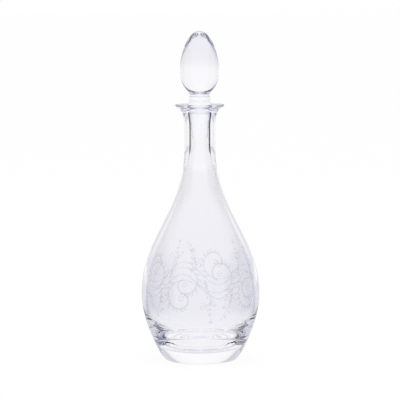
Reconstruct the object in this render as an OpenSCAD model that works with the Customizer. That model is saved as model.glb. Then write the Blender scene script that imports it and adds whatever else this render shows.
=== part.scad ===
// Stoppered glass decanter: a blown pear-shaped bottle with a thick neck, a thin flared lip and a
// heavy base, closed by a solid glass stopper that drops into a tapered seat.
// Millimetres, +Z up, origin on the table under the middle of the bottle.

/* [Body] */
// Radius of the body at its widest
belly_r = 58.7; // [52:0.1:64]
// Height of the widest point above the table
belly_z = 66; // [58:0.5:74]
// Rise from the widest point to the foot of the straight neck
shoulder_h = 148; // [130:1:166]
// How far the swell carries up before it turns in to the shoulder
swell_up = 61; // [50:0.5:70]
// How far the swell carries down before it turns in to the foot
swell_down = 27; // [20:0.5:32]
// Thickness of the glass round the belly and shoulder
belly_wall = 2.2; // [1.6:0.1:3.2]

/* [Neck and lip] */
// Outer radius of the straight neck
neck_r = 15.4; // [14:0.1:17]
// Length of the straight neck
neck_h = 14; // [6:0.5:24]
// How far the neck line carries down into the shoulder
neck_pull = 70; // [56:0.5:84]
// Height over which the wall thickens from the shoulder to the neck
wall_blend_h = 23; // [14:0.5:34]
// Rise of the flare from the straight neck to the underside of the lip
flare_h = 24.6; // [20:0.2:30]
// How far the neck line carries up into the flare
flare_pull = 16; // [10:0.5:20]
// Radius of the lip disc
lip_r = 24.3; // [21:0.1:28]
// Thickness of the lip disc at its rounded edge
lip_t = 2.7; // [1.8:0.1:4]
// Upward tilt of the lip's underside, in degrees
lip_tilt = 18; // [8:1:26]
// How far the underside of the lip runs in before it turns down the flare
lip_pull = 6.5; // [4:0.5:8]
// How far the top of the lip sinks from its edge to the mouth
lip_dish = 0.8; // [0.2:0.1:1.4]

/* [Mouth and seat] */
// Radius of the tapered seat at the mouth
mouth_r = 10.75; // [10:0.05:12]
// Radius lost for each millimetre down the seat
seat_taper = 0.09; // [0.06:0.005:0.11]
// Radius of the throat, where the seat ends
throat_r = 9; // [8.4:0.1:9.4]
// Rounding of the mouth's inner edge
mouth_round = 0.9; // [0.4:0.1:1.4]

/* [Base] */
// Outer radius of the flat ring that the bottle stands on
foot_r = 33.5; // [28:0.5:38]
// Width of that flat ring
foot_ring_w = 5; // [3:0.5:8]
// Fullness of the rounded heel above the ring
heel_pull = 6; // [3:0.5:10]
// Rise of the shallow hollow under the base
punt_h = 1.8; // [0.8:0.1:3]
// Thickness of the glass from that hollow to the inside floor
floor_t = 14; // [8:0.5:18]
// How far the inside floor runs out from the middle before it turns up
floor_pull = 30; // [20:0.5:36]
// How far the inside wall carries down before it turns in to the floor
well_pull = 38; // [28:0.5:42]

/* [Stopper] */
// Clearance between the stopper's ground plug and its seat
seat_gap = 0.1; // [0.05:0.01:0.2]
// Length of the plug below the mouth
plug_len = 32.4; // [24:0.2:40]
// Rounding of the plug's lower edge
plug_round = 0.8; // [0.4:0.1:1.6]
// Height of the plug that stands clear of the mouth
plug_stand = 2.8; // [1.4:0.1:4]
// Radius of the groove between plug and collar
groove_r = 9.8; // [9:0.1:10.2]
// Height of that groove
groove_h = 1.2; // [0.8:0.1:2]
// Radius of the collar
collar_r = 10.7; // [10.4:0.1:12]
// Height of the collar
collar_h = 4.8; // [3:0.1:7]
// Rounding of the collar's edges
collar_round = 1.1; // [0.5:0.1:1.4]
// Radius of the waist between collar and finial
waist_r = 10; // [8.5:0.1:10.3]
// Height of that waist
waist_h = 0.8; // [0.4:0.1:2]
// Radius of the finial at its widest
finial_r = 19.4; // [16:0.1:23]
// Rise from the waist to the finial's widest point
finial_low_h = 23.4; // [19:0.2:28]
// Rise from the widest point to the tip
finial_top_h = 40.3; // [34:0.2:48]
// Fullness of the finial below its widest point
finial_low_pull = 16; // [12:0.5:18]
// Fullness of the finial above its widest point
finial_top_pull = 21; // [17:0.5:26]
// Flatness of the finial's tip
finial_tip_pull = 10; // [7:0.5:13]
// How far the waist line carries up into the finial
waist_pull = 5; // [3:0.5:7]

/* [Hidden] */
$fn = 120;

bottle_colour = [0.90, 0.91, 0.95, 0.45];
stopper_colour = [0.88, 0.89, 0.94, 0.6];

// Steps along each kind of curve
long_steps = 30;
short_steps = 14;
round_steps = 6;

// Heights stack up from the table
neck_z = belly_z + shoulder_h;
flare_z = neck_z + neck_h;
lip_under_z = flare_z + flare_h;
rim_round = lip_t / 2;
rim_r = lip_r - rim_round;
rim_z = lip_under_z + rim_round * cos(lip_tilt);
mouth_z = rim_z + rim_round - lip_dish;
floor_z = punt_h + floor_t;
shoulder_plane_z = mouth_z + plug_stand;
collar_z = shoulder_plane_z + groove_h;
waist_z = collar_z + collar_h;
finial_z = waist_z + waist_h;
finial_wide_z = finial_z + finial_low_h;
tip_z = finial_wide_z + finial_top_h;

neck_wall = neck_r - throat_r;
seat_depth = (mouth_r - throat_r) / seat_taper;
plug_mouth_r = mouth_r - seat_gap;

// One cubic curve from p0 to p3, pulled towards p1 and p2
function curve_at(p0, p1, p2, p3, t) =
    pow(1 - t, 3) * p0 + 3 * pow(1 - t, 2) * t * p1 + 3 * (1 - t) * t * t * p2 + t * t * t * p3;

// Direction of travel along that curve
function curve_way(p0, p1, p2, p3, t) =
    (1 - t) * (1 - t) * (p1 - p0) + 2 * (1 - t) * t * (p2 - p1) + t * t * (p3 - p2);

// The curve as points, without its last one when another stretch follows
function curve(p0, p1, p2, p3, steps, last = false) =
    [for (i = [0 : steps - (last ? 0 : 1)]) curve_at(p0, p1, p2, p3, i / steps)];

// A round stretch about a centre, from one angle to another
function arc(centre, r, from, to, steps = round_steps) =
    [for (i = [0 : steps]) centre + r * [cos(from + (to - from) * i / steps), sin(from + (to - from) * i / steps)]];

function backwards(path) = [for (i = [len(path) - 1 : -1 : 0]) path[i]];

// Corners that pull the outer wall into shape between neck and widest point
shoulder_ends = [
    [neck_r, neck_z],
    [neck_r, neck_z - neck_pull],
    [belly_r, belly_z + swell_up],
    [belly_r, belly_z]
];

function shoulder_at(t) = curve_at(shoulder_ends[0], shoulder_ends[1], shoulder_ends[2], shoulder_ends[3], t);

function shoulder_way(t) = curve_way(shoulder_ends[0], shoulder_ends[1], shoulder_ends[2], shoulder_ends[3], t);

// Share of the neck's extra wall at a height: 0 on the belly, 1 at the neck
function wall_share(z) =
    let (u = min(1, max(0, (z - neck_z + wall_blend_h) / wall_blend_h)))
    u * u * (3 - 2 * u);

function wall_at(z) = belly_wall + (neck_wall - belly_wall) * wall_share(z);

// Inner face of the shoulder, square to the outer face and one wall thickness in
function shoulder_inside(t) =
    let (p = shoulder_at(t), way = shoulder_way(t))
    p + wall_at(p[1]) * [way[1], -way[0]] / norm(way);

// Underside of the base: a shallow dome inside the flat ring
function base_path() =
    let (ring_in = foot_r - foot_ring_w)
    [for (i = [0 : round_steps]) let (r = ring_in * i / round_steps) [r, punt_h * (1 - pow(r / ring_in, 2))]];

// Outer wall from the flat ring up to the edge of the lip
function outer_path() = concat(
    backwards(curve([belly_r, belly_z], [belly_r, belly_z - swell_down], [foot_r + heel_pull, 0],
        [foot_r, 0], long_steps, true)),
    [for (i = [long_steps - 1 : -1 : 0]) shoulder_at(i / long_steps)],
    curve([neck_r, flare_z], [neck_r, flare_z + flare_pull],
        [rim_r + rim_round * sin(lip_tilt) - lip_pull * cos(lip_tilt), lip_under_z - lip_pull * sin(lip_tilt)],
        [rim_r + rim_round * sin(lip_tilt), lip_under_z], short_steps),
    arc([rim_r, rim_z], rim_round, lip_tilt - 90, 90)
);

// Top of the lip, then down the seat, the throat and the inside to the floor
function inner_path() = concat(
    arc([mouth_r + mouth_round, mouth_z - mouth_round], mouth_round, 90, 180 - atan(seat_taper)),
    [[throat_r, mouth_z - seat_depth]],
    [for (i = [0 : long_steps - 1]) shoulder_inside(i / long_steps)],
    curve([belly_r - belly_wall, belly_z], [belly_r - belly_wall, belly_z - well_pull],
        [floor_pull, floor_z], [0, floor_z], long_steps, true)
);

module bottle() {
    color(bottle_colour)
        rotate_extrude()
            polygon(concat(base_path(), outer_path(), inner_path()));
}

// Ground plug that fills the seat, with the groove above it
function plug_path() =
    let (
        slope = atan(seat_taper),
        end_z = mouth_z - plug_len,
        end_r = plug_mouth_r - plug_len * seat_taper
    )
    concat(
        [[0, end_z]],
        arc([end_r - plug_round, end_z + plug_round], plug_round, -90, -slope),
        [[plug_mouth_r + plug_stand * seat_taper, shoulder_plane_z]],
        [[groove_r, shoulder_plane_z]]
    );

// Rounded collar above the groove, up to the waist
function collar_path() = concat(
    [[groove_r, collar_z]],
    arc([collar_r - collar_round, collar_z + collar_round], collar_round, -60, 0),
    arc([collar_r - collar_round, waist_z - collar_round], collar_round, 0, 60),
    [[waist_r, waist_z]]
);

// Egg-shaped finial from the waist to the tip
function finial_path() = concat(
    curve([waist_r, finial_z], [waist_r, finial_z + waist_pull],
        [finial_r, finial_wide_z - finial_low_pull], [finial_r, finial_wide_z], short_steps),
    curve([finial_r, finial_wide_z], [finial_r, finial_wide_z + finial_top_pull],
        [finial_tip_pull, tip_z], [0, tip_z], long_steps, true)
);

module stopper() {
    color(stopper_colour)
        rotate_extrude()
            polygon(concat(plug_path(), collar_path(), finial_path()));
}

bottle();
stopper();
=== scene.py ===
# Clear glass decanter with a ground stopper and an etched band of scrolls, on a white table
import bmesh
import bpy
import math
from mathutils import Matrix, Vector


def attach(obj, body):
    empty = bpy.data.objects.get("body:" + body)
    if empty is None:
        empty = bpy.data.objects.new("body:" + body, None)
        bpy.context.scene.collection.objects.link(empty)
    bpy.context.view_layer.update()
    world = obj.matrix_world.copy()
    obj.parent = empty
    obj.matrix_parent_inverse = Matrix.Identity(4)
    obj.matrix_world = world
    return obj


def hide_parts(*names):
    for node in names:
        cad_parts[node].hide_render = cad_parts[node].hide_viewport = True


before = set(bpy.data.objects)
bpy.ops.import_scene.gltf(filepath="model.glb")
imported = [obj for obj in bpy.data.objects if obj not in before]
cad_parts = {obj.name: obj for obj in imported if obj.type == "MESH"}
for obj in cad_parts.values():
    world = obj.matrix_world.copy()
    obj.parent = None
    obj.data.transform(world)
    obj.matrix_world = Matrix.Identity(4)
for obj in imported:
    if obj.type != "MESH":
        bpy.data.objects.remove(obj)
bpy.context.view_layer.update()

from types import SimpleNamespace

scene = bpy.context.scene
mm = 0.001
print("frame loaded:", sorted(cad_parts))


def linearColour(hexText):
    channels = [int(hexText[i:i + 2], 16) / 255 for i in (1, 3, 5)]
    return [c / 12.92 if c <= 0.04045 else ((c + 0.055) / 1.055) ** 2.4 for c in channels] + [1.0]


def addNode(tree, kind, inputs=(), **settings):      # a hex text becomes a colour; gives back the outputs
    node = tree.nodes.new(kind)
    for name, value in settings.items():
        setattr(node, name, value)
    for key, value in inputs.items() if isinstance(inputs, dict) else enumerate(inputs):
        if isinstance(value, bpy.types.NodeSocket):
            tree.links.new(value, node.inputs[key])
        else:
            node.inputs[key].default_value = linearColour(value) if isinstance(value, str) else value
    return node.outputs


# Profiles, in millimetres as radius and height

def curveAt(ends, t):          # a point of a curve with two ends and two pulls between them
    weights = ((1 - t) ** 3, 3 * (1 - t) ** 2 * t, 3 * (1 - t) * t * t, t ** 3)
    return tuple(sum(w * p[k] for w, p in zip(weights, ends)) for k in (0, 1))


def curveWay(ends, t):         # the way that the curve runs there
    weights = ((1 - t) ** 2, 2 * (1 - t) * t, t * t)
    return tuple(sum(w * (ends[i + 1][k] - ends[i][k]) for i, w in enumerate(weights)) for k in (0, 1))


def curvePath(ends, steps):
    return [curveAt(ends, i / steps) for i in range(steps + 1)]


def arcPath(centre, radius, fromAngle, toAngle, steps=8):
    turns = [math.radians(fromAngle + (toAngle - fromAngle) * i / steps) for i in range(steps + 1)]
    return [(centre[0] + radius * math.cos(a), centre[1] + radius * math.sin(a)) for a in turns]


bottleShape = {
    "bellyR": 58.7, "bellyZ": 66, "swellUp": 61, "swellDown": 27, "bellyWall": 2.2,
    "shoulderH": 148, "neckR": 15.4, "neckH": 14, "neckPull": 70, "wallBlendH": 23,
    "flareH": 24.6, "flarePull": 16, "lipR": 24.3, "lipT": 2.7, "lipTilt": 18, "lipPull": 6.5, "lipDish": 0.8,
    "mouthR": 10.75, "seatTaper": 0.09, "throatR": 9, "mouthRound": 0.9,
    "footR": 33.5, "footRingW": 5, "heelPull": 6, "puntH": 1.8, "floorT": 14, "floorPull": 30, "wellPull": 38,
    "longSteps": 64, "shortSteps": 24, "rimSteps": 12, "stepsRound": 192,
}


def bottleHeights(shape):      # foot of the neck, of the flare and of the lip, middle of the rim, mouth
    neckZ = shape.bellyZ + shape.shoulderH
    flareZ = neckZ + shape.neckH
    underZ = flareZ + shape.flareH
    rimZ = underZ + shape.lipT / 2 * math.cos(math.radians(shape.lipTilt))
    return neckZ, flareZ, underZ, rimZ, rimZ + shape.lipT / 2 - shape.lipDish


def shoulderEnds(shape):
    neckZ = bottleHeights(shape)[0]
    return [(shape.neckR, neckZ), (shape.neckR, neckZ - shape.neckPull),
            (shape.bellyR, shape.bellyZ + shape.swellUp), (shape.bellyR, shape.bellyZ)]


def hollowPath(shape):         # the shallow hollow under the base, from the axis to the foot ring
    shares = [i / shape.shortSteps for i in range(shape.shortSteps + 1)]
    return [((shape.footR - shape.footRingW) * share, shape.puntH * (1 - share ** 2)) for share in shares]


def outerPath(shape):          # heel, belly, shoulder, neck, flare and round rim
    _, flareZ, underZ, rimZ, _ = bottleHeights(shape)
    tilt = math.radians(shape.lipTilt)
    rimRound = shape.lipT / 2
    rimR = shape.lipR - rimRound
    lipEnd = (rimR + rimRound * math.sin(tilt), underZ)
    lipPull = (lipEnd[0] - shape.lipPull * math.cos(tilt), lipEnd[1] - shape.lipPull * math.sin(tilt))
    heel = [(shape.footR, 0), (shape.footR + shape.heelPull, 0),
            (shape.bellyR, shape.bellyZ - shape.swellDown), (shape.bellyR, shape.bellyZ)]
    flare = [(shape.neckR, flareZ), (shape.neckR, flareZ + shape.flarePull), lipPull, lipEnd]
    path = curvePath(heel, shape.longSteps) + curvePath(shoulderEnds(shape), shape.longSteps)[::-1]
    path += curvePath(flare, shape.shortSteps)
    return path + arcPath((rimR, rimZ), rimRound, shape.lipTilt - 90, 90, shape.rimSteps)


def innerPath(shape):          # mouth, ground seat, throat, inside of shoulder and belly, floor
    neckZ, _, _, _, mouthZ = bottleHeights(shape)
    ends = shoulderEnds(shape)
    neckWall = shape.neckR - shape.throatR

    def wallAt(z):             # thin round the belly, thickening to the neck
        share = min(1, max(0, (z - neckZ + shape.wallBlendH) / shape.wallBlendH))
        return shape.bellyWall + (neckWall - shape.bellyWall) * share * share * (3 - 2 * share)

    def insideAt(t):           # one wall thickness in, square to the outer face
        point, way = curveAt(ends, t), curveWay(ends, t)
        wall = wallAt(point[1]) / math.hypot(*way)
        return point[0] + wall * way[1], point[1] - wall * way[0]

    slope = math.degrees(math.atan(shape.seatTaper))
    mouthEdge = (shape.mouthR + shape.mouthRound, mouthZ - shape.mouthRound)
    throatZ = mouthZ - (shape.mouthR - shape.throatR) / shape.seatTaper
    wallR = shape.bellyR - shape.bellyWall
    floorZ = shape.puntH + shape.floorT
    well = [(wallR, shape.bellyZ), (wallR, shape.bellyZ - shape.wellPull),
            (shape.floorPull, floorZ), (0, floorZ)]
    path = arcPath(mouthEdge, shape.mouthRound, 90, 180 - slope) + [(shape.throatR, throatZ)]
    path += [insideAt(i / shape.longSteps) for i in range(shape.longSteps)]
    return path + curvePath(well, shape.longSteps)


stopperShape = {
    "seatGap": 0.1, "plugLen": 32.4, "plugRound": 0.8, "plugStand": 2.8, "grooveR": 9.8, "grooveH": 1.2,
    "collarR": 10.7, "collarH": 4.8, "collarRound": 1.1, "collarArc": 60, "waistR": 10, "waistH": 0.8,
    "finialR": 19.4, "finialLowH": 23.4, "finialTopH": 40.3, "finialLowPull": 16, "finialTopPull": 21,
    "finialTipPull": 10, "waistPull": 5, "longSteps": 56, "shortSteps": 40, "stepsRound": 160,
}


def stopperPath(shape, bottle):      # the plug takes its place, size and taper from the bottle's mouth
    mouthZ = bottleHeights(bottle)[-1]
    slope = math.degrees(math.atan(bottle.seatTaper))
    plugR = bottle.mouthR - shape.seatGap
    endZ = mouthZ - shape.plugLen
    endR = plugR - shape.plugLen * bottle.seatTaper
    standZ = mouthZ + shape.plugStand
    collarZ = standZ + shape.grooveH
    waistZ = collarZ + shape.collarH
    finialZ = waistZ + shape.waistH
    wideZ = finialZ + shape.finialLowH
    tipZ = wideZ + shape.finialTopH
    edge = shape.collarRound
    edgeR = shape.collarR - edge
    endEdge = (endR - shape.plugRound, endZ + shape.plugRound)
    path = [(0, endZ)] + arcPath(endEdge, shape.plugRound, -90, -slope)
    path += [(plugR + shape.plugStand * bottle.seatTaper, standZ)]
    path += [(shape.grooveR, standZ), (shape.grooveR, collarZ)]
    path += arcPath((edgeR, collarZ + edge), edge, -shape.collarArc, 0)
    path += arcPath((edgeR, waistZ - edge), edge, 0, shape.collarArc) + [(shape.waistR, waistZ)]
    lower = [(shape.waistR, finialZ), (shape.waistR, finialZ + shape.waistPull),
             (shape.finialR, wideZ - shape.finialLowPull), (shape.finialR, wideZ)]
    upper = [(shape.finialR, wideZ), (shape.finialR, wideZ + shape.finialTopPull),
             (shape.finialTipPull, tipZ), (0, tipZ)]
    return path + curvePath(lower, shape.shortSteps) + curvePath(upper, shape.longSteps)


def lineMesh(name, path, leastStep=0.001):      # points nearer than the least step count as one
    points = [path[0]]
    for point in path[1:]:
        if math.dist(point, points[-1]) > leastStep:
            points.append(point)
    places = [(r * mm, 0, z * mm) for r, z in points]
    mesh = bpy.data.meshes.new(name)
    mesh.from_pydata(places, [(i, i + 1) for i in range(len(points) - 1)], [])
    return mesh


# Geometry Nodes

def newTree(name, sockets):
    tree = bpy.data.node_groups.new(name, "GeometryNodeTree")
    tree.interface.new_socket("Geometry", in_out="INPUT", socket_type="NodeSocketGeometry")
    for label, kind in sockets.items():
        tree.interface.new_socket(label, in_out="INPUT", socket_type=kind)
    tree.interface.new_socket("Geometry", in_out="OUTPUT", socket_type="NodeSocketGeometry")
    return tree, addNode(tree, "NodeGroupInput")


def endTree(tree, geometry, material):
    real = addNode(tree, "GeometryNodeRealizeInstances", (geometry,))[0]
    done = addNode(tree, "GeometryNodeSetMaterial", {"Geometry": real, "Material": material})[0]
    addNode(tree, "NodeGroupOutput", (done,))


def latheTree():               # turns a profile line round the Z axis into a closed, smooth body
    tree, given = newTree("latheAroundAxis", {
        "Steps Round": "NodeSocketInt", "Sharp Angle": "NodeSocketFloat", "Weld": "NodeSocketFloat",
        "Glass": "NodeSocketMaterial"})
    steps = given["Steps Round"]
    profile = given["Geometry"]
    points = addNode(tree, "GeometryNodeAttributeDomainSize", {"Geometry": profile})["Point Count"]
    columns = addNode(tree, "ShaderNodeMath", (steps, 1.0), operation="ADD")[0]
    grid = addNode(tree, "GeometryNodeMeshGrid", {"Vertices X": points, "Vertices Y": columns})["Mesh"]

    # each grid point's place in the profile, and its turn round the axis
    index = addNode(tree, "GeometryNodeInputIndex")[0]
    middle = addNode(tree, "ShaderNodeMath", (index, 0.5), operation="ADD")[0]
    share = addNode(tree, "ShaderNodeMath", (middle, columns), operation="DIVIDE")[0]
    row = addNode(tree, "ShaderNodeMath", (share,), operation="FLOOR")[0]
    column = addNode(tree, "ShaderNodeMath", (index, columns), operation="MODULO")[0]
    turn = addNode(tree, "ShaderNodeMath", (column, steps), operation="DIVIDE")[0]
    angle = addNode(tree, "ShaderNodeMath", (turn, 2 * math.pi), operation="MULTIPLY")[0]
    place = addNode(tree, "GeometryNodeInputPosition")[0]
    edge = addNode(tree, "GeometryNodeSampleIndex", {"Geometry": profile, "Value": place, "Index": row},
                   data_type="FLOAT_VECTOR")[0]
    turned = addNode(tree, "ShaderNodeVectorRotate", {"Vector": edge, "Angle": angle},
                     rotation_type="Z_AXIS")[0]
    spun = addNode(tree, "GeometryNodeSetPosition", {"Geometry": grid, "Position": turned})[0]

    # the seam and the poles are welded, faces turned outwards, and only true edges left sharp
    closed = addNode(tree, "GeometryNodeMergeByDistance", {"Geometry": spun, "Distance": given["Weld"]})[0]
    outward = addNode(tree, "GeometryNodeFlipFaces", (closed,))[0]
    smooth = addNode(tree, "GeometryNodeSetShadeSmooth", {"Geometry": outward, "Shade Smooth": True},
                     domain="FACE")[0]
    bend = addNode(tree, "GeometryNodeInputMeshEdgeAngle")["Unsigned Angle"]
    sharp = addNode(tree, "ShaderNodeMath", (bend, given["Sharp Angle"]), operation="GREATER_THAN")[0]
    crisp = addNode(tree, "GeometryNodeSetShadeSmooth",
                    {"Geometry": smooth, "Selection": sharp, "Shade Smooth": False}, domain="EDGE")[0]
    endTree(tree, crisp, given["Glass"])
    return tree


def wrapTree():                # repeats a flat pattern round the bottle and lays it on the glass
    tree, given = newTree("wrapBandOnGlass", {
        "Glass Body": "NodeSocketObject", "Repeats": "NodeSocketInt", "Flat Radius": "NodeSocketFloat",
        "Stand Off": "NodeSocketFloat", "Cast From": "NodeSocketFloat", "Etch": "NodeSocketMaterial"})
    around = addNode(tree, "ShaderNodeMath", (given["Flat Radius"], 2 * math.pi), operation="MULTIPLY")[0]
    pitch = addNode(tree, "ShaderNodeMath", (around, given["Repeats"]), operation="DIVIDE")[0]
    offset = addNode(tree, "ShaderNodeCombineXYZ", (pitch,))[0]
    row = addNode(tree, "GeometryNodeMeshLine", {"Count": given["Repeats"], "Offset": offset})[0]
    copies = addNode(tree, "GeometryNodeInstanceOnPoints", {"Points": row, "Instance": given["Geometry"]})[0]
    flat = addNode(tree, "GeometryNodeRealizeInstances", (copies,))[0]

    # length along the flat strip becomes an angle round the bottle, from its front
    place = addNode(tree, "GeometryNodeInputPosition")[0]
    part = addNode(tree, "ShaderNodeSeparateXYZ", (place,))
    angle = addNode(tree, "ShaderNodeMath", (part[0], given["Flat Radius"]), operation="DIVIDE")[0]
    sine = addNode(tree, "ShaderNodeMath", (angle,), operation="SINE")[0]
    cosine = addNode(tree, "ShaderNodeMath", (angle,), operation="COSINE")[0]
    front = addNode(tree, "ShaderNodeMath", (cosine, -1.0), operation="MULTIPLY")[0]
    outward = addNode(tree, "ShaderNodeCombineXYZ", (sine, front))[0]
    inward = addNode(tree, "ShaderNodeVectorMath", {0: outward, "Scale": -1.0}, operation="SCALE")[0]
    far = addNode(tree, "ShaderNodeVectorMath", {0: outward, "Scale": given["Cast From"]},
                  operation="SCALE")[0]
    height = addNode(tree, "ShaderNodeCombineXYZ", {2: part[2]})[0]
    start = addNode(tree, "ShaderNodeVectorMath", (far, height), operation="ADD")[0]

    # a ray to the axis finds the glass
    body = addNode(tree, "GeometryNodeObjectInfo", {"Object": given["Glass Body"]})["Geometry"]
    cast = addNode(tree, "GeometryNodeRaycast", {"Target Geometry": body, "Source Position": start,
                                                 "Ray Direction": inward, "Ray Length": given["Cast From"]})
    lift = addNode(tree, "ShaderNodeVectorMath", {0: cast["Hit Normal"], "Scale": given["Stand Off"]},
                   operation="SCALE")[0]
    onGlass = addNode(tree, "ShaderNodeVectorMath", (cast["Hit Position"], lift), operation="ADD")[0]
    laid = addNode(tree, "GeometryNodeSetPosition", {"Geometry": flat, "Position": onGlass})[0]
    smooth = addNode(tree, "GeometryNodeSetShadeSmooth", (laid,))[0]
    endTree(tree, smooth, given["Etch"])
    return tree


def grow(name, mesh, tree, values):      # runs a tree over a mesh and keeps the plain result
    source = bpy.data.objects.new(name + "Source", mesh)
    scene.collection.objects.link(source)
    modifier = source.modifiers.new("Grow", "NODES")
    modifier.node_group = tree
    for item in tree.interface.items_tree:
        if item.in_out == "INPUT" and item.name in values:
            modifier[item.identifier] = values[item.name]
    graph = bpy.context.evaluated_depsgraph_get()
    plain = bpy.data.meshes.new_from_object(source.evaluated_get(graph), depsgraph=graph)
    source.modifiers.remove(modifier)
    bpy.data.objects.remove(source)
    plain.name = name
    piece = bpy.data.objects.new(name, plain)
    scene.collection.objects.link(piece)
    return piece


# Materials

def newMaterial(name):
    material = bpy.data.materials.new(name)
    material.use_nodes = True
    material.node_tree.nodes.clear()
    return material, material.node_tree


blownLook = {"tint": "#FEFEFF", "ior": 1.5, "rippleSize": 34, "rippleHeight": 0.02}
# the stopper's glow is painted light: a faint emission below the mouth in place of the light its ground seat
# scatters
groundLook = {"tint": "#FDFDFF", "ior": 1.5, "rippleSize": 22, "rippleHeight": 0.01,
              "paintedGlow": 0.02, "paintedGlowColour": "#FAFAFF", "paintedGlowFade": 2}


def clearGlass(name, look, paintedGlowTop=0):      # a look with a painted glow gives off faint light below the given top, standing in for light that a ground seat scatters
    material, tree = newMaterial(name)
    place = addNode(tree, "ShaderNodeTexCoord")["Object"]
    ripple = addNode(tree, "ShaderNodeTexNoise", {"Vector": place, "Scale": 1 / (look["rippleSize"] * mm),
                                                  "Detail": 1.0, "Roughness": 0.4})[0]
    bump = addNode(tree, "ShaderNodeBump", {"Strength": 1.0, "Distance": look["rippleHeight"] * mm,
                                            "Height": ripple})[0]
    finish = {"Base Color": look["tint"], "Roughness": 0.0, "IOR": look["ior"],
              "Transmission Weight": 1.0, "Normal": bump}
    # painted glow, fading out just below the given top
    if "paintedGlow" in look:
        height = addNode(tree, "ShaderNodeSeparateXYZ", (place,))[2]
        fadeFrom = (paintedGlowTop - look["paintedGlowFade"]) * mm
        paintedGlow = addNode(tree, "ShaderNodeMapRange", (height, fadeFrom, paintedGlowTop * mm, look["paintedGlow"], 0.0))[0]
        finish.update({"Emission Color": look["paintedGlowColour"], "Emission Strength": paintedGlow})
    shader = addNode(tree, "ShaderNodeBsdfPrincipled", finish)[0]
    addNode(tree, "ShaderNodeOutputMaterial", (shader,))
    return material


# the etch's glow is painted light: a faint even emission in place of the light its frosted lines scatter
etchLook = {"dark": "#D8D8DB", "pale": "#ECECEF", "grain": 1.6,
            "etchPaintedGlow": 0.03, "etchPaintedGlowColour": "#F4F4FA"}


# A skin that dims what is behind it, glows faintly with painted light in place of the light that frosting
# scatters, and bends nothing. The grain of an etch is too fine to show here, so it is drawn coarser. A Mix
# node takes its share at 0 and its colours at 6 and 7.
def etchedGlass(name, look):
    material, tree = newMaterial(name)
    place = addNode(tree, "ShaderNodeTexCoord")["Object"]
    grain = addNode(tree, "ShaderNodeTexNoise", {"Vector": place, "Scale": 1 / (look["grain"] * mm),
                                                 "Detail": 2.0})[0]
    shade = addNode(tree, "ShaderNodeMix", {0: grain, 6: look["dark"], 7: look["pale"]}, data_type="RGBA")[2]
    # its emission is a painted glow for the light that frosting scatters
    shader = addNode(tree, "ShaderNodeBsdfPrincipled", {
        "Base Color": shade, "Roughness": 0.0, "IOR": 1.0, "Specular IOR Level": 0.0,
        "Transmission Weight": 1.0, "Emission Color": look["etchPaintedGlowColour"],
        "Emission Strength": look["etchPaintedGlow"]})[0]
    addNode(tree, "ShaderNodeOutputMaterial", (shader,))
    return material


bottleSizes = SimpleNamespace(**bottleShape)
stopperSizes = SimpleNamespace(**stopperShape)
mouthZ = bottleHeights(bottleSizes)[-1]
# Blown and fire-polished, so clear with slow ripples; cut and polished, its plug finely ground and so a
# little milky, shown by a faint painted glow; etched with acid, so its lines are matte and a little grainy,
# with a faint painted glow
blownGlass = clearGlass("sodaGlass_blown", blownLook)
cutGlass = clearGlass("sodaGlass_cutStopper", groundLook, mouthZ)
frostedGlass = etchedGlass("sodaGlass_acidEtched", etchLook)
print("materials made")


# Glass pieces

def glassPiece(name, path, stepsRound, material, tree, sharpAngle=35, weld=0.001):
    values = {"Steps Round": stepsRound, "Sharp Angle": math.radians(sharpAngle), "Weld": weld * mm,
              "Glass": material}
    piece = grow(name, lineMesh(name + "Line", path), tree, values)
    check = bmesh.new()
    check.from_mesh(piece.data)
    volume = check.calc_volume(signed=True) / (10 * mm) ** 3
    openEdges = sum(not edge.is_manifold for edge in check.edges)
    check.free()
    print(name, "volume cm3", round(volume, 1), "open edges", openEdges, "faces", len(piece.data.polygons))
    return piece


lathe = latheTree()
bottlePath = hollowPath(bottleSizes) + outerPath(bottleSizes) + innerPath(bottleSizes)
bottleGlass = glassPiece("bottleGlass", bottlePath, bottleSizes.stepsRound, blownGlass, lathe)
stopperGlass = glassPiece("stopperGlass", stopperPath(stopperSizes, bottleSizes), stopperSizes.stepsRound,
                          cutGlass, lathe)
for piece, node in ((bottleGlass, "bottle"), (stopperGlass, "stopper")):
    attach(piece, node)
    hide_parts(node)
print("glass pieces made")


# Etched band: a running stem with a volute in each hollow, leaves, berries and small sprigs

bandShape = {
    "repeats": 5, "flatR": 58.7, "midZ": 80, "standOff": 0.03, "castFrom": 200, "step": 1.2, "fineStep": 0.8,
    "waveH": 12, "stemW": 1.3, "scrollW": 1.5, "tendrilW": 1.05, "stalkW": 0.8,
    # a place is a share of the repeat's width and a height; a spiral is two radii, a first angle and a turn
    "voluteAt": (0.27, 12), "volute": (21, 6, 217, 400), "innerVolute": (13.02, 5.4, 337, 300),
    "tendrils": (((0.54745, 13), (5.2, 1.2, 250, 480)), ((0.98, 20), (4.4, 1.1, -60, -470))),
    "leaves": 9, "leafFrom": 0.2, "leafPitch": 0.052, "leafLean": -48,
    "leafLong": 7.5, "leafWide": 2.6, "leafShrink": 0.05,
    "petals": 5, "petalOut": 2.1, "petalR": 1.0, "petalTurn": 18,
    "stalkFoot": (0.56, 8), "stalkBow": 0.8, "stalkSteps": 4,
    "berries": ((0.60, 26), (0.66, 30.5), (0.72, 33)), "berryR": 1.15,
    "sprigX": 0.86, "sprigH": 24, "sprigSway": 1.5, "sprigBend": 3, "sprigSteps": 14, "sprigTip": 0.6,
    # each pair of leaves: its step up the sprig, then its length and width
    "sprigPairs": ((4, (5.4, 1.8)), (7, (4.4, 1.6)), (10, (3.4, 1.4))), "pairLean": 48, "pairBend": 0.2,
    "tipLeaf": (4.2, 1.7), "tipAngles": (50, 90, 130),
}


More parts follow.
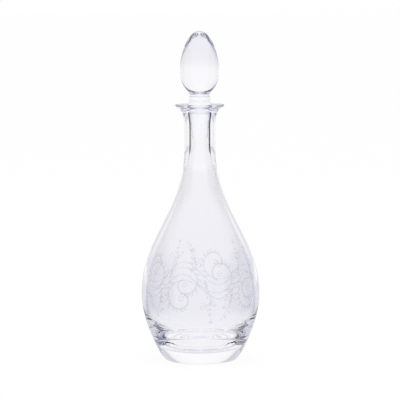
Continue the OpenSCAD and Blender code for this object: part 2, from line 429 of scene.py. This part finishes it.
class FlatPattern:             # thin flat forms in the XZ plane, given in millimetres
    def __init__(self):
        self.points, self.faces = [], []

    def ribbon(self, path, widths):      # a line of changing width, two rows of faces wide
        first = len(self.points)
        for i, (x, z) in enumerate(path):
            before, after = path[max(i - 1, 0)], path[min(i + 1, len(path) - 1)]
            dx, dz = after[0] - before[0], after[1] - before[1]
            span = math.hypot(dx, dz)
            for side in (widths[i] / 2, 0, -widths[i] / 2):
                self.points.append(((x - dz / span * side) * mm, 0, (z + dx / span * side) * mm))
        for i in range(first, len(self.points) - 3, 3):
            self.faces += [(i, i + 1, i + 4, i + 3), (i + 1, i + 2, i + 5, i + 4)]

    def line(self, path, width, tip=0.25, taperShare=0.2):      # thins to the tip's share at both ends
        last = len(path) - 1
        reach = max(last * taperShare, 1)
        shares = [min(1, tip + (1 - tip) * min(i, last - i) / reach) for i in range(last + 1)]
        self.ribbon(path, [width * share for share in shares])

    def dot(self, x, z, radius, sides=12):
        ring = arcPath((x, z), radius, 0, 360, sides)[:-1]
        self.faces.append(tuple(range(len(self.points), len(self.points) + sides)))
        self.points += [(px * mm, 0, pz * mm) for px, pz in ring]

    def leaf(self, x, z, angle, size, bend=0.25, steps=12, fullest=0.8, tipW=0.12):
        long, wide = size
        shares = [i / steps for i in range(steps + 1)]
        turns = [math.radians(angle) + bend * (share - 0.5) for share in shares]
        path = [(x + long * share * math.cos(turn), z + long * share * math.sin(turn))
                for share, turn in zip(shares, turns)]
        self.ribbon(path, [wide * math.sin(math.pi * share ** fullest) + tipW for share in shares])

    def copyTurned(self, middleX, middleZ):      # adds all the forms again, turned half round a point
        count = len(self.points)
        self.faces += [tuple(i + count for i in face) for face in self.faces]
        self.points += [(2 * middleX * mm - x, 0, 2 * middleZ * mm - z) for x, _, z in self.points]


def spiral(centre, form, step):      # its radius shrinks at a steady rate
    startR, endR, fromAngle, turn = form
    count = int(abs(math.radians(turn)) * (startR + endR) / 2 / step) + 8
    path = []
    for i in range(count + 1):
        radius = startR * (endR / startR) ** (i / count)
        angle = math.radians(fromAngle + turn * i / count)
        path.append((centre[0] + radius * math.cos(angle), centre[1] + radius * math.sin(angle)))
    return path


def drawVolute(flat, band, at):      # a scroll with leaves on its outside and a small flower in its eye
    centre = at(*band.voluteAt)
    volute = spiral(centre, band.volute, band.step)
    flat.line(volute, band.scrollW)
    flat.line(spiral(centre, band.innerVolute, band.step), band.tendrilW)
    for k in range(band.leaves):
        i = int(len(volute) * (band.leafFrom + band.leafPitch * k))
        (x, z), (nextX, nextZ) = volute[i], volute[i + 1]
        angle = math.degrees(math.atan2(nextZ - z, nextX - x)) + band.leafLean
        size = 1 - band.leafShrink * k
        flat.leaf(x, z, angle, (band.leafLong * size, band.leafWide * size))
    for x, z in arcPath(centre, band.petalOut, band.petalTurn, band.petalTurn + 360, band.petals)[:-1]:
        flat.dot(x, z, band.petalR)


def drawBerries(flat, band, at):     # berries on bowed stalks that share a foot
    footX, footZ = at(*band.stalkFoot)
    shares = [i / band.stalkSteps for i in range(band.stalkSteps + 1)]
    for berry in band.berries:
        x, z = at(*berry)
        stalk = [(footX + (x - footX) * t, footZ + (z - footZ) * t ** band.stalkBow) for t in shares]
        flat.line(stalk, band.stalkW, tip=1)
        flat.dot(x, z, band.berryR)


def drawSprig(flat, band, x, z):     # a swaying twig with pairs of leaves, and more at its tip
    shares = [i / band.sprigSteps for i in range(band.sprigSteps + 1)]
    sprig = [(x + band.sprigSway * math.sin(band.sprigBend * t), z + band.sprigH * t) for t in shares]
    flat.line(sprig, band.stalkW, tip=band.sprigTip)
    for step, size in band.sprigPairs:
        for side in (-1, 1):
            flat.leaf(*sprig[step], 90 + side * band.pairLean, size, side * band.pairBend)
    for angle in band.tipAngles:
        flat.leaf(*sprig[-1], angle, band.tipLeaf, 0)


def drawBand(band):            # one repeat: half of it is drawn, then turned round for the other half
    flat = FlatPattern()
    width = 2 * math.pi * band.flatR / band.repeats

    def at(share, up):
        return share * width, band.midZ + up

    def stemZ(x):
        return band.midZ - band.waveH * math.sin(2 * math.pi * x / width)

    drawVolute(flat, band, at)
    for centre, form in band.tendrils:
        flat.line(spiral(at(*centre), form, band.fineStep), band.tendrilW)
    drawBerries(flat, band, at)
    drawSprig(flat, band, band.sprigX * width, stemZ(band.sprigX * width))
    flat.copyTurned(width / 2, band.midZ)
    steps = int(width / band.step)
    flat.line([(width * i / steps, stemZ(width * i / steps)) for i in range(steps + 1)], band.stemW, tip=1)
    mesh = bpy.data.meshes.new("bandFlat")
    mesh.from_pydata(flat.points, [], flat.faces)
    return mesh


bandSizes = SimpleNamespace(**bandShape)
etchedBand = grow("etchedBand", drawBand(bandSizes), wrapTree(), {
    "Glass Body": bottleGlass, "Repeats": bandSizes.repeats, "Flat Radius": bandSizes.flatR * mm,
    "Stand Off": bandSizes.standOff * mm, "Cast From": bandSizes.castFrom * mm, "Etch": frostedGlass})
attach(etchedBand, "bottle")
print("etched band made, faces", len(etchedBand.data.polygons))


# Surroundings: a white table and sweep, and a darker room that only mirrored light meets

studio = {
    "white": "#FFFFFF", "fill": "#F4F4F8", "walls": "#CDCDD8", "overhead": "#D8D8E4",
    "roomLook": {"left": "#6E6668", "right": "#3C4160", "sweep": "#E2E1E9"},
    # painted reflections: room colours that the table shows only to light the glass has mirrored, bluer near
    # the bottle
    "tableNearPaintedReflection": {"left": "#424C7A", "right": "#525E8C", "sweep": "#E2E1E9"},
    "tableFarPaintedReflection": {"left": "#6E6668", "right": "#3C4160", "sweep": "#FFFFFF"},
    # degrees off the line of view, or above level: from, to, softness of both ends; an end that lies past
    # what an angle can reach is no end at all
    "sweepAcross": (-10, 47, 6), "sweepBright": (14, 95, 10), "sidesAcross": (50, 125, 8),
    "sidesRise": (-95, 26, 10), "rightHalf": (0, 200, 4), "overheadRise": (60, 95, 12), "tableRise": -10,
}
tableShape = {
    # painted shade: to light through or off the glass the table is a little grey under the foot and greyer
    # round the bottle; the camera sees it white
    "half": 30, "drop": 0.0002, "underFoot": "#F8F8FB", "paintedShadeBehindGlass": "#F2F1F6",
    "paperDark": "#F2F2F4", "paperPale": "#FAFAFC", "paperGrain": 2.5, "keepShadow": 0.05,
    # metres from the bottle: from, to (past the table's edge), softness of both ends
    "behindFrom": (0.045, 99, 0.03), "mirrorFrom": (0.15, 50, 0.2), "farFrom": (1.15, 99, 0.5),
    "whiteFrom": (2, 99, 3),
}


def softBand(tree, value, band):     # 1 between the band's two ends, with soft ends
    start, end, soft = band
    up = addNode(tree, "ShaderNodeMapRange", (value, start - soft / 2, start + soft / 2),
                 interpolation_type="SMOOTHSTEP")[0]
    down = addNode(tree, "ShaderNodeMapRange", (value, end - soft / 2, end + soft / 2, 1.0, 0.0),
                   interpolation_type="SMOOTHSTEP")[0]
    return addNode(tree, "ShaderNodeMath", (up, down), operation="MULTIPLY")[0]


def bearingOf(tree, vector):         # degrees off the line of view, degrees above level, distance across
    part = addNode(tree, "ShaderNodeSeparateXYZ", (vector,))
    flat = addNode(tree, "ShaderNodeCombineXYZ", (part[0], part[1]))[0]
    across = addNode(tree, "ShaderNodeVectorMath", (flat,), operation="LENGTH")["Value"]
    turn = addNode(tree, "ShaderNodeMath", (part[0], part[1]), operation="ARCTAN2")[0]
    bearing = addNode(tree, "ShaderNodeMath", (turn,), operation="DEGREES")[0]
    climb = addNode(tree, "ShaderNodeMath", (part[2], across), operation="ARCTAN2")[0]
    rise = addNode(tree, "ShaderNodeMath", (climb,), operation="DEGREES")[0]
    return bearing, rise, across


def mirroredRoom(tree, bearing, rise, look):      # what light finds after the glass has mirrored it
    offAxis = addNode(tree, "ShaderNodeMath", (bearing,), operation="ABSOLUTE")[0]
    sidesAcross = softBand(tree, offAxis, studio["sidesAcross"])
    sidesRise = softBand(tree, rise, studio["sidesRise"])
    sides = addNode(tree, "ShaderNodeMath", (sidesAcross, sidesRise), operation="MULTIPLY")[0]
    rightHalf = softBand(tree, bearing, studio["rightHalf"])
    side = addNode(tree, "ShaderNodeMix", {0: rightHalf, 6: look["left"], 7: look["right"]},
                   data_type="RGBA")[2]
    top = softBand(tree, rise, studio["overheadRise"])
    walls = addNode(tree, "ShaderNodeMix", {0: top, 6: studio["walls"], 7: studio["overhead"]},
                    data_type="RGBA")[2]
    room = addNode(tree, "ShaderNodeMix", {0: sides, 6: walls, 7: side}, data_type="RGBA")[2]
    bright = softBand(tree, rise, studio["sweepBright"])
    sweep = addNode(tree, "ShaderNodeMix", {0: bright, 6: look["sweep"], 7: studio["white"]},
                    data_type="RGBA")[2]
    ahead = softBand(tree, offAxis, studio["sweepAcross"])
    return addNode(tree, "ShaderNodeMix", {0: ahead, 6: room, 7: sweep}, data_type="RGBA")[2]


def studioRoom():
    world = bpy.data.worlds.new("studioRoom")
    world.use_nodes = True
    tree = world.node_tree
    tree.nodes.clear()
    bearing, rise, _ = bearingOf(tree, addNode(tree, "ShaderNodeTexCoord")["Generated"])
    room = mirroredRoom(tree, bearing, rise, studio["roomLook"])
    light = addNode(tree, "ShaderNodeLightPath")
    mirrored = addNode(tree, "ShaderNodeMath", (light["Glossy Depth"], 1.0), operation="MINIMUM")[0]
    colour = addNode(tree, "ShaderNodeMix", {0: mirrored, 6: studio["white"], 7: room}, data_type="RGBA")[2]
    colour = addNode(tree, "ShaderNodeMix", {0: light["Is Camera Ray"], 6: colour, 7: studio["white"]},
                     data_type="RGBA")[2]
    colour = addNode(tree, "ShaderNodeMix", {0: light["Is Diffuse Ray"], 6: colour, 7: studio["fill"]},
                     data_type="RGBA")[2]
    backdrop = addNode(tree, "ShaderNodeBackground", (colour, 1.0))[0]
    addNode(tree, "ShaderNodeOutputWorld", (backdrop,))
    return world


def whitePaper(name):          # matte white; to light that the glass has mirrored, it carries on the room as a painted reflection, and through the glass it shows painted shade round the bottle
    material, tree = newMaterial(name)
    place = addNode(tree, "ShaderNodeNewGeometry")["Position"]
    bearing, _, across = bearingOf(tree, place)
    # painted reflection: the room's colours on the table, near the bottle and far from it, for mirrored light
    # only
    near = mirroredRoom(tree, bearing, studio["tableRise"], studio["tableNearPaintedReflection"])
    far = mirroredRoom(tree, bearing, studio["tableRise"], studio["tableFarPaintedReflection"])
    farShare = softBand(tree, across, tableShape["farFrom"])
    room = addNode(tree, "ShaderNodeMix", {0: farShare, 6: near, 7: far}, data_type="RGBA")[2]
    mirrorShare = softBand(tree, across, tableShape["mirrorFrom"])
    room = addNode(tree, "ShaderNodeMix", {0: mirrorShare, 6: tableShape["underFoot"], 7: room},
                   data_type="RGBA")[2]

    # painted shade seen through the glass: grey round the bottle, lighter under the foot, white far off
    behindShare = softBand(tree, across, tableShape["behindFrom"])
    behind = addNode(tree, "ShaderNodeMix", {0: behindShare, 6: tableShape["underFoot"],
                                             7: tableShape["paintedShadeBehindGlass"]}, data_type="RGBA")[2]
    whiteShare = softBand(tree, across, tableShape["whiteFrom"])
    behind = addNode(tree, "ShaderNodeMix", {0: whiteShare, 6: behind, 7: studio["white"]},
                     data_type="RGBA")[2]

    light = addNode(tree, "ShaderNodeLightPath")
    mirrored = addNode(tree, "ShaderNodeMath", (light["Glossy Depth"], 1.0), operation="MINIMUM")[0]
    seen = addNode(tree, "ShaderNodeMix", {0: mirrored, 6: behind, 7: room}, data_type="RGBA")[2]
    seen = addNode(tree, "ShaderNodeMix", {0: light["Is Camera Ray"], 6: seen, 7: studio["white"]},
                   data_type="RGBA")[2]
    shown = addNode(tree, "ShaderNodeMath", (light["Is Camera Ray"], light["Is Glossy Ray"]),
                    operation="MAXIMUM")[0]
    shown = addNode(tree, "ShaderNodeMath", (shown, light["Is Transmission Ray"]), operation="MAXIMUM")[0]
    share = addNode(tree, "ShaderNodeMath", (shown, 1 - tableShape["keepShadow"]), operation="MULTIPLY")[0]
    glow = addNode(tree, "ShaderNodeEmission", (seen, 1.0))[0]

    grain = addNode(tree, "ShaderNodeTexNoise", {"Vector": place,
                                                 "Scale": 1 / (tableShape["paperGrain"] * mm)})[0]
    matte = addNode(tree, "ShaderNodeMix", {0: grain, 6: tableShape["paperDark"], 7: tableShape["paperPale"]},
                    data_type="RGBA")[2]
    paper = addNode(tree, "ShaderNodeBsdfDiffuse", (matte,))[0]
    surface = addNode(tree, "ShaderNodeMixShader", (share, paper, glow))[0]
    addNode(tree, "ShaderNodeOutputMaterial", (surface,))
    return material


scene.world = studioRoom()
tableMesh = bpy.data.meshes.new("table")
corners = [(x * tableShape["half"], y * tableShape["half"], -tableShape["drop"])
           for x, y in ((-1, -1), (1, -1), (1, 1), (-1, 1))]
tableMesh.from_pydata(corners, [], [(0, 1, 2, 3)])
table = bpy.data.objects.new("table", tableMesh)
table.data.materials.append(whitePaper("table_whitePaper"))
scene.collection.objects.link(table)

lampColour = "#FFFDFA"
lampAim = Vector((0, 0, 0.15))
lamps = {            # place in metres, power in watts, size in metres
    "left": ((-1.3, -0.9, 1.5), 6.0, 0.9),
    "right": ((1.4, -0.6, 1.3), 4.0, 0.8),
    "top": ((0, 0.3, 1.9), 6.0, 1.2),
}
for name, (place, power, size) in lamps.items():
    lamp = bpy.data.lights.new("softbox_" + name, "AREA")
    lamp.energy = power
    lamp.size = size
    lamp.color = linearColour(lampColour)[:3]
    box = bpy.data.objects.new("softbox_" + name, lamp)
    box.location = place
    box.rotation_euler = (lampAim - Vector(place)).to_track_quat("-Z", "Y").to_euler()
    box.visible_glossy = False      # the photographed glass shows no lamp, mirrored or through
    box.visible_transmission = False
    scene.collection.objects.link(box)

scene.cycles.max_bounces = 96      # with fewer, the thick base turns black where light is trapped
scene.cycles.transmission_bounces = 96
scene.cycles.glossy_bounces = 64
scene.cycles.transparent_max_bounces = 24
scene.view_settings.view_transform = "Standard"
print("studio made")


# Camera, at the photograph's angle

cameraShape = {"distance": 2.35, "height": 0.375, "aimZ": 0.159, "lens": 213.6, "sensor": 36, "roll": 0.27,
               "shiftX": -0.0003, "shiftY": 0.002, "clipStart": 0.01}
cameraData = bpy.data.cameras.new("camera")
camera = bpy.data.objects.new("camera", cameraData)
camera.location = (0, -cameraShape["distance"], cameraShape["height"])
aim = (Vector((0, 0, cameraShape["aimZ"])) - camera.location).to_track_quat("-Z", "Y").to_matrix()
camera.rotation_euler = (aim @ Matrix.Rotation(math.radians(-cameraShape["roll"]), 3, "Z")).to_euler()
cameraData.lens = cameraShape["lens"]
cameraData.sensor_width = cameraShape["sensor"]
cameraData.shift_x = cameraShape["shiftX"]
cameraData.shift_y = cameraShape["shiftY"]
cameraData.clip_start = cameraShape["clipStart"]
scene.collection.objects.link(camera)
scene.camera = camera
